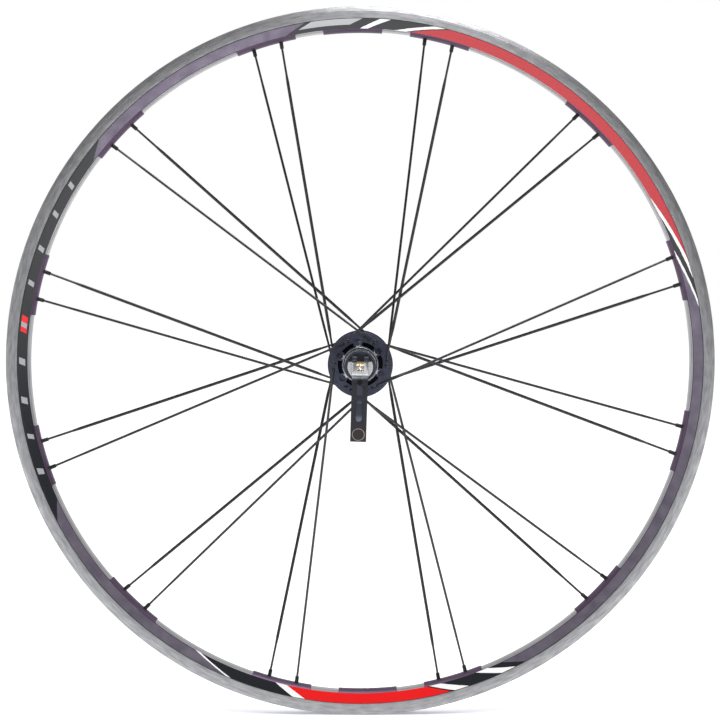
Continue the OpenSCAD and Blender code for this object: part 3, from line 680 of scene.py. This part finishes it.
spoke_black = new_material("black_spoke", (0.02, 0.02, 0.023), metallic=0.7, roughness=0.3,
                           coat_weight=0.5, coat_roughness=0.15)
paint = Nodes(spoke_black)
grain = paint.noise(paint.place((1, 1, 1)), 420, 3)
spoke_tone = paint.mix(paint.spread(grain, 0, 1), (0.01, 0.01, 0.012), (0.03, 0.031, 0.036))
paint.to("Base Color", spoke_tone)
paint.to("Roughness", paint.spread(grain, 0.24, 0.42))
for side in FLANGE_AT:
    for k in range(12):
        node = f"spoke_{side}_{k + 1:02d}"
        finish(draw_bar(spoke_stations(side, k)), "bladed_" + node, "wheel",
               [spoke_black], [node])
elbow, _, seat, _ = spoke_points("left", 1)
print("spoke length", round((seat - elbow).length, 1), "mm")

# %% [markdown]
# ## Nipples
#
# A nipple is a small turned nut. Its body has four flats for the spoke key and its head sits
# inside the rim. Rings with a changing outline give the round shoulders; the flats are left out.

# %% Turn the nipples
nipple_black = new_material("black_nipple", (0.014, 0.014, 0.016), metallic=0.6, roughness=0.34)
paint = Nodes(nipple_black)
paint.to("Roughness", paint.spread(paint.noise(paint.place(), 900, 2), 0.25, 0.45))
NIPPLE_RINGS = [(-7.8, 1.15), (-7.75, 1.5), (-7.45, 1.72), (-3.6, 1.72), (-3.2, 1.79), (2.0, 1.79),
                (2.2, 2.9), (3.9, 2.9), (4.2, 2.4)]
for side in FLANGE_AT:
    cluster = bmesh.new()
    for k in range(12):
        _, start, seat, _ = spoke_points(side, k)
        forward = (seat - start).normalized()
        wide = Vector((0, 0, 1)).cross(forward).normalized()
        draw_bar([ring_at(seat + forward * at, forward, wide, r, r) for at, r in NIPPLE_RINGS],
                 12, cluster)
    finish(cluster, "turned_nipples_" + side, "wheel", [nipple_black],
           ["nipples_" + side], crease=50)
print("nipples: 24")

# %% [markdown]
# ## Machined parts
#
# The hub, the freehub, the axle's caps and the lever are right as they come from the CAD, but
# their edges are knife sharp. Real machined edges have a small chamfer that catches the light.
# A merged copy of each part takes a fine bevel, and then stands for it. The bevel is applied
# at once, so that the finishes meet the mesh as it will be seen.

# %% Break the edges of a CAD part
def softened(node, material, width, corner=35):
    """A copy of a CAD node with its sharp edges bevelled, width in millimetres."""
    shape = bmesh.new()
    shape.from_mesh(NODES[node].data)
    bmesh.ops.remove_doubles(shape, verts=shape.verts, dist=2e-6)
    bmesh.ops.dissolve_limit(shape, angle_limit=math.radians(0.5), verts=shape.verts,
                             edges=shape.edges)
    data = bpy.data.meshes.new("soft_" + node)
    shape.to_mesh(data)
    shape.free()
    data.shade_smooth()
    data.set_sharp_from_angle(angle=math.radians(corner))
    data.materials.append(material)
    piece = bpy.data.objects.new("soft_" + node, data)
    scene.collection.objects.link(piece)
    bevel = piece.modifiers.new("edges", "BEVEL")
    bevel.width = width * MM
    bevel.segments = 2
    bevel.limit_method = "ANGLE"
    bevel.angle_limit = math.radians(corner)
    bevel.miter_outer = "MITER_ARC"
    bevel.harden_normals = True
    settled = piece.evaluated_get(bpy.context.evaluated_depsgraph_get())
    piece.data = bpy.data.meshes.new_from_object(settled)
    piece.modifiers.clear()
    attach(piece, BODY[node])
    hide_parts(node)


# %% Finishes for the hub
def brushed(name, low, high, metallic, rough, scale=600, **sockets):
    """A machined finish whose colour and roughness vary along fine lines."""
    material = new_material(name, high, metallic=metallic, roughness=rough, **sockets)
    paint = Nodes(material)
    lines = paint.noise(paint.place((1, 0.15, 1)), scale, 3)
    paint.to("Base Color", paint.mix(paint.spread(lines, 0, 1), low, high))
    paint.to("Roughness", paint.spread(lines, rough - 0.06, rough + 0.08))
    paint.bump(lines, 0.00002, 0.25)
    return material


hub_finish = brushed("anodised_hub", (0.05, 0.055, 0.08), (0.085, 0.092, 0.13), 0.95, 0.36,
                     anisotropic=0.6, anisotropic_rotation=0.25)
Nodes(hub_finish).turned_about_axle()
cap_finish = brushed("black_cap", (0.012, 0.013, 0.018), (0.03, 0.032, 0.042), 0.6, 0.35)
cup_finish = brushed("cup", (0.035, 0.04, 0.055), (0.07, 0.08, 0.11), 0.85, 0.3)
steel_finish = brushed("ground_steel", (0.42, 0.43, 0.45), (0.62, 0.63, 0.65), 1, 0.28)
alloy_finish = brushed("bright_alloy", (0.55, 0.555, 0.57), (0.75, 0.755, 0.77), 1, 0.3)
freehub_finish = brushed("grey_freehub", (0.16, 0.16, 0.17), (0.26, 0.26, 0.27), 0.9, 0.38)
brass_finish = brushed("brass", (0.33, 0.22, 0.09), (0.55, 0.4, 0.2), 1, 0.32)
rod_finish = brushed("rod_steel", (0.6, 0.6, 0.6), (0.8, 0.8, 0.8), 1, 0.2)
seal_finish = brushed("seal_rubber", (0.012, 0.012, 0.013), (0.028, 0.028, 0.03), 0, 0.6)
nylon_finish = brushed("blue_nylon", (0.02, 0.05, 0.2), (0.03, 0.08, 0.3), 0, 0.45)
tape_finish = brushed("rim_tape", (0.02, 0.05, 0.22), (0.03, 0.075, 0.32), 0, 0.55, 300)
spring_finish = brushed("spring_steel", (0.4, 0.4, 0.42), (0.65, 0.65, 0.67), 1, 0.25)
nut_finish = brushed("black_nut", (0.012, 0.013, 0.016), (0.035, 0.036, 0.045), 0.5, 0.36)
print("materials so far:", len(bpy.data.materials))

# %% The saddle is silver beside the lever, with painted shade above it
saddle_finish = brushed("saddle", (0.5, 0.505, 0.52), (0.74, 0.745, 0.76), 1, 0.3)
paint = Nodes(saddle_finish)
# Above the pivot the saddle is painted dark and less metallic, as shade.
SADDLE_SHADE_FROM, SADDLE_SHADE_FULL = 0.0036, 0.0046
shaded_top = paint.spread(paint.object_axes()["Z"], 0, 1, SADDLE_SHADE_FROM, SADDLE_SHADE_FULL)
base = paint.shader.inputs["Base Color"].links[0].from_socket
paint.to("Base Color", paint.mix(shaded_top, base, (0.02, 0.022, 0.03)))
paint.to("Metallic", paint.spread(shaded_top, 1.0, 0.6, 0, 1))
print("material:", saddle_finish.name)

# %% Flange bridges, worn bare with a painted highlight, and grooves darkened with painted shade, in metres from the axle and along it
HOLE_STEP = math.radians(60)
FIRST_HOLE_AT = math.radians(36.75)
BRIDGE_HALF, BRIDGE_REACH, BRIDGE_FACE = math.radians(6.5), (0.0157, 0.0174), -0.0371
LIP_REACH, LIP_FACE = (0.0151, 0.0157), -0.04085
GROOVE_REACH, GROOVE_DEPTH = (0.0161, 0.0199), (-0.0374, -0.0345)
paint = Nodes(hub_finish)
at = paint.object_axes()
radius = paint.math("SQRT", paint.math("ADD", paint.math("POWER", at["X"], 2),
                                       paint.math("POWER", at["Z"], 2)))
angle = paint.math("ARCTAN2", at["Z"], at["X"])
turned = paint.math("ADD", angle, 2 * math.pi - FIRST_HOLE_AT + HOLE_STEP / 2)
off = paint.math("ABSOLUTE", paint.math(
    "SUBTRACT", paint.math("MODULO", turned, HOLE_STEP), HOLE_STEP / 2))
# The bridges are painted bright: worn bare metal, with a painted highlight on it.
bridge = paint.math("MULTIPLY", paint.math("LESS_THAN", off, BRIDGE_HALF),
                    paint.within(radius, *BRIDGE_REACH))
bridge = paint.math("MULTIPLY", bridge, paint.math("LESS_THAN", at["Y"], BRIDGE_FACE))
lip = paint.math("MULTIPLY", paint.within(radius, *LIP_REACH),
                 paint.math("LESS_THAN", at["Y"], LIP_FACE))
# worn holds the bridges, worn bare and painted as a highlight, and the bright lip.
worn = paint.math("MAXIMUM", bridge, lip)
# The grooves are painted near black: the anodise, darkened with painted shade.
groove = paint.math("MULTIPLY", paint.within(radius, *GROOVE_REACH),
                    paint.within(at["Y"], *GROOVE_DEPTH))
base = paint.shader.inputs["Base Color"].links[0].from_socket
base = paint.mix(groove, base, (0.006, 0.006, 0.01))
paint.to("Base Color", paint.mix(worn, base, (0.7, 0.7, 0.73)))
print("material:", hub_finish.name)

# %% Hub, freehub, axle and nut
MACHINED = (
    ("hub_shell", hub_finish, 0.25), ("left_end_cap", cap_finish, 0.25),
    ("right_end_cap", cap_finish, 0.25), ("axle", alloy_finish, 0.2),
    ("freehub_body", freehub_finish, 0.2), ("lever_cup", cup_finish, 0.5),
    ("lever_saddle", saddle_finish, 0.3), ("adjusting_nut", nut_finish, 0.4),
    ("skewer_rod", rod_finish, 0.15), ("lever_pivot_barrel", brass_finish, 0.3),
)
for node, material, width in MACHINED:
    softened(node, material, width)
print("softened parts:", len(MACHINED))

# %% [markdown]
# ## The lever
#
# The lever is forged, with a polished head where the cam turns and a glossy black arm. The
# colour changes softly a centimetre below the pivot, so it is mixed by height. Above the pivot
# the head's top is painted dark, as shade.

# %% Lever finish, in metres from the pivot and to each side of the leaning arm
LEAN = math.radians(1.7)
BLACK_FROM, BLACK_FULL = -0.0035, -0.0105
# Above these heights the head's top is painted dark, as shade.
HEAD_SHADE_FROM, HEAD_SHADE_FULL = 0.0042, 0.0052
HOLLOW_AT, HOLLOW_HALF_RUN, HOLLOW_R = 0.0376, 0.0065, 0.0027
GROOVE_HALF, GROOVE_FROM, GROOVE_TO = 0.0024, -0.024, -0.0145
EYE_AT, EYE_R = 0.0126, 0.0023
lever_finish = new_material("lever", (0.02, 0.02, 0.025), metallic=0.9, roughness=0.25)
paint = Nodes(lever_finish)
at = paint.object_axes()
grain = paint.noise(paint.place((1, 1, 0.2)), 500, 3)
height = paint.math("ADD", at["Z"], paint.math("MULTIPLY", grain, 0.0012))
black_share = paint.add("MapRange", {
    "Value": height, "From Min": BLACK_FROM, "From Max": BLACK_FULL,
}, interpolation_type="SMOOTHSTEP").outputs["Result"]
# The head's top is painted dark as shade; the arm below the pivot is black.
head_shade_share = paint.spread(height, 0, 1, HEAD_SHADE_FROM, HEAD_SHADE_FULL)
black_arm_and_head_shade = paint.math("MAXIMUM", black_share, head_shade_share)
brown = paint.spread(at["Z"], 0, 1, -0.045, -0.062)
arm = paint.mix(brown, (0.012, 0.013, 0.02), (0.02, 0.014, 0.012))
polish = paint.mix(paint.spread(grain, 0, 1), (0.55, 0.57, 0.6), (0.75, 0.76, 0.79))

# %% The lever's hollow, groove and eye
leaning = paint.math("MULTIPLY", at["Z"], math.tan(LEAN))
sideways = paint.math("ABSOLUTE", paint.math("SUBTRACT", at["X"], leaning))
from_middle = paint.math("ABSOLUTE", paint.math("ADD", at["Z"], HOLLOW_AT))
past_end = paint.math("MAXIMUM", paint.math("SUBTRACT", from_middle, HOLLOW_HALF_RUN), 0.0)
hollow = paint.math("LESS_THAN", paint.length(sideways, past_end), HOLLOW_R)
# The hollow's floor is painted lighter towards the tip, as a painted reflection.
hollow_reflection_tone = paint.mix(paint.spread(at["Z"], 0, 1, -0.041, -0.0465),
                       (0.04, 0.047, 0.068), (0.2, 0.225, 0.28))
# The groove is painted a little lighter and bluer than the arm, as a painted reflection.
groove = paint.math("MULTIPLY", paint.math("LESS_THAN", sideways, GROOVE_HALF),
                    paint.within(at["Z"], GROOVE_FROM, GROOVE_TO))
eye_distance = paint.length(sideways, paint.math("ADD", at["Z"], EYE_AT))
eye = paint.math("LESS_THAN", eye_distance, EYE_R)
arm = paint.mix(hollow, arm, hollow_reflection_tone)
arm = paint.mix(groove, arm, (0.028, 0.032, 0.046))
arm = paint.mix(eye, arm, (0.003, 0.003, 0.004))
paint.to("Base Color", paint.mix(paint.math("MAXIMUM", black_arm_and_head_shade, eye), polish, arm))
paint.to("Roughness", paint.spread(black_arm_and_head_shade, 0.22, 0.3, 0, 1))
paint.to("Metallic", paint.spread(black_arm_and_head_shade, 1.0, 0.55, 0, 1))
softened("lever", lever_finish, 0.45, 30)
print("material:", lever_finish.name)

# %% A plain ring set in the lever's tip
RING_BELOW_PIVOT = 0.058
lever_mesh = NODES["lever"].data
corners = [vert.co for vert in lever_mesh.vertices]
skin = BVHTree.FromPolygons(corners, [face.vertices for face in lever_mesh.polygons])
before_tip = Vector((RING_BELOW_PIVOT * -math.sin(LEAN), -0.2, -RING_BELOW_PIVOT))
place, normal, _, _ = skin.ray_cast(before_tip, Vector((0, 1, 0)))
face_at = Matrix.Translation(place) @ normal.to_track_quat("Z", "Y").to_matrix().to_4x4()
ring_shape = lathe([(5.5, -0.5), (5.5, 0.1), (5.38, 0.18), (5.0, 0.18), (4.88, 0.1), (4.88, -0.5)],
                   48)
bmesh.ops.transform(ring_shape, matrix=face_at @ Matrix.Scale(MM, 4), verts=ring_shape.verts)
ring_finish = brushed("ring_print", (0.2, 0.17, 0.16), (0.3, 0.27, 0.26), 0.8, 0.35)
finish(ring_shape, "lever_ring", "lever_arm", [ring_finish], upright=False)
print("ring on the lever:", [round(v * 1000, 1) for v in place])

# %% [markdown]
# ## Everything else
#
# The parts inside the hub are small and mostly hidden, and their CAD shapes are right, so they
# keep them and take a finish.

# %% Finishes for the parts that keep their CAD shape
FINISH_OF_SLOT = {
    "tape": tape_finish, "bearing_steel": steel_finish, "ratchet_steel": steel_finish,
    "seal_rubber": seal_finish, "spring_steel": spring_finish, "rod_steel": rod_finish,
    "insert_nylon": nylon_finish, "axle_alloy": alloy_finish, "hub_anodised": hub_finish,
    "cap_black": cap_finish, "freehub_alloy": freehub_finish, "brass": brass_finish,
    "saddle_silver": saddle_finish, "cup_black": cup_finish, "nut_black": nut_finish,
}
kept = [node for node, thing in NODES.items() if SLOT[node] in FINISH_OF_SLOT]
for node in kept:
    NODES[node].data.materials.clear()
    NODES[node].data.materials.append(FINISH_OF_SLOT[SLOT[node]])
print("CAD nodes with a finish by slot:", len(kept))
